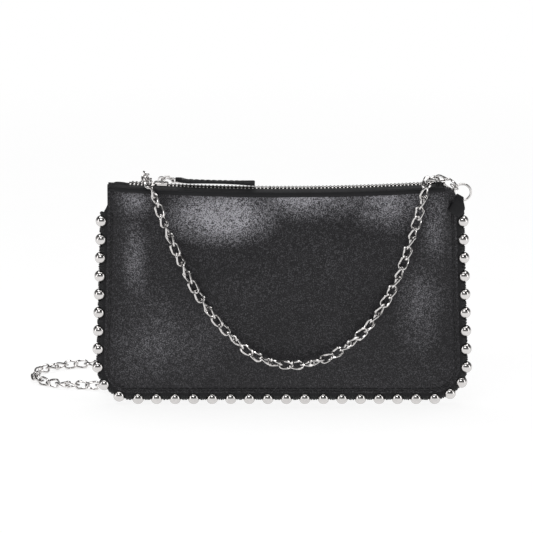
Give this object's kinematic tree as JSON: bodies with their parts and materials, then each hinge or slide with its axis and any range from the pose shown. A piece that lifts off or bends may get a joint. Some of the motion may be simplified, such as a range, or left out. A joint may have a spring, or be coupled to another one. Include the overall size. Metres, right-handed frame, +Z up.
{
  "type": "chain wallet",
  "caption": "Slim rectangular zip pouch with ball beads strung along its sewn edge and a metal chain strap on rings at its top corners.",
  "frame": {"origin": "middle of the pouch at the underside of its bottom beads", "axes": "+X to the wearer's right along the zip, +Y from the front panel to the back, +Z up to the zip"},
  "size_m": [0.2493, 0.1024, 0.1333],
  "materials": {
    "leathercloth": "rubbed metallic black leathercloth, fine speckled grain, satin",
    "black_trim": "matte black leather trim",
    "stiffener": "plain bonded fibre sheet",
    "lining": "black woven lining",
    "thread": "twisted black sewing thread and cord",
    "zip_tape": "black woven zip tape",
    "bead_metal": "polished silver plate",
    "zip_metal": "polished silver plate",
    "chain_metal": "polished silver plate"
  },
  "bodies": {
    "bag": {"front_panel": "leathercloth", "back_panel": "leathercloth", "front_stiffener": "stiffener", "back_stiffener": "stiffener", "front_lining": "lining", "back_lining": "lining", "slip_pocket": "lining", "edge_welt": "black_trim", "bottom_beads": "bead_metal", "left_beads": "bead_metal", "right_beads": "bead_metal", "bead_cord": "thread", "front_topstitching": "thread", "back_topstitching": "thread", "front_top_band": "black_trim", "back_top_band": "black_trim", "front_zip_tape": "zip_tape", "back_zip_tape": "zip_tape", "front_zip_teeth": "zip_metal", "back_zip_teeth": "zip_metal", "left_end_cover": "black_trim", "right_end_cover": "black_trim", "right_tab": "black_trim", "left_tab": "black_trim", "chain_top": "chain_metal", "chain_back": "chain_metal", "chain_coil": "chain_metal", "chain_floor": "chain_metal"},
    "slider": {"slider_body": "zip_metal", "slider_bridge": "zip_metal"},
    "pull_ring": {"pull_ring": "zip_metal"},
    "pull": {"pull_clasp": "zip_metal", "leather_pull": "black_trim", "pull_stitching": "thread"},
    "right_ring": {"right_ring": "chain_metal", "right_end_link": "chain_metal"},
    "left_ring": {"left_ring": "chain_metal", "left_end_link": "chain_metal"},
    "chain_drop": {"chain_swag": "chain_metal"}
  },
  "joints": [
    {"name": "slider_travel", "type": "hinge", "parent": "bag", "child": "slider", "pos_m": [0, 0, 1.424], "axis": [0, -1, 0], "range_deg": [0, 3.9]},
    {"name": "pull_swing", "type": "hinge", "parent": "slider", "child": "pull_ring", "pos_m": [-0.06684, 0, 0.12882], "axis": [0, -1, 0], "range_deg": [0, 90]},
    {"name": "pull_flap", "type": "hinge", "parent": "pull_ring", "child": "pull", "pos_m": [-0.06025, 0, 0.12848], "axis": [0, -1, 0], "range_deg": [0, 60]},
    {"name": "right_ring_swing", "type": "hinge", "parent": "bag", "child": "right_ring", "pos_m": [0.0976, 0, 0.11775], "axis": [-0.866, 0, 0.5], "range_deg": [0, 30]},
    {"name": "left_ring_swing", "type": "hinge", "parent": "bag", "child": "left_ring", "pos_m": [-0.091, 0.00595, 0.1123], "axis": [1, 0, 0], "range_deg": [0, 30]},
    {"name": "chain_swing", "type": "hinge", "parent": "bag", "child": "chain_drop", "pos_m": [0, -0.0066, 0.1296], "axis": [-1, 0, 0], "range_deg": [0, 70]}
  ]
}
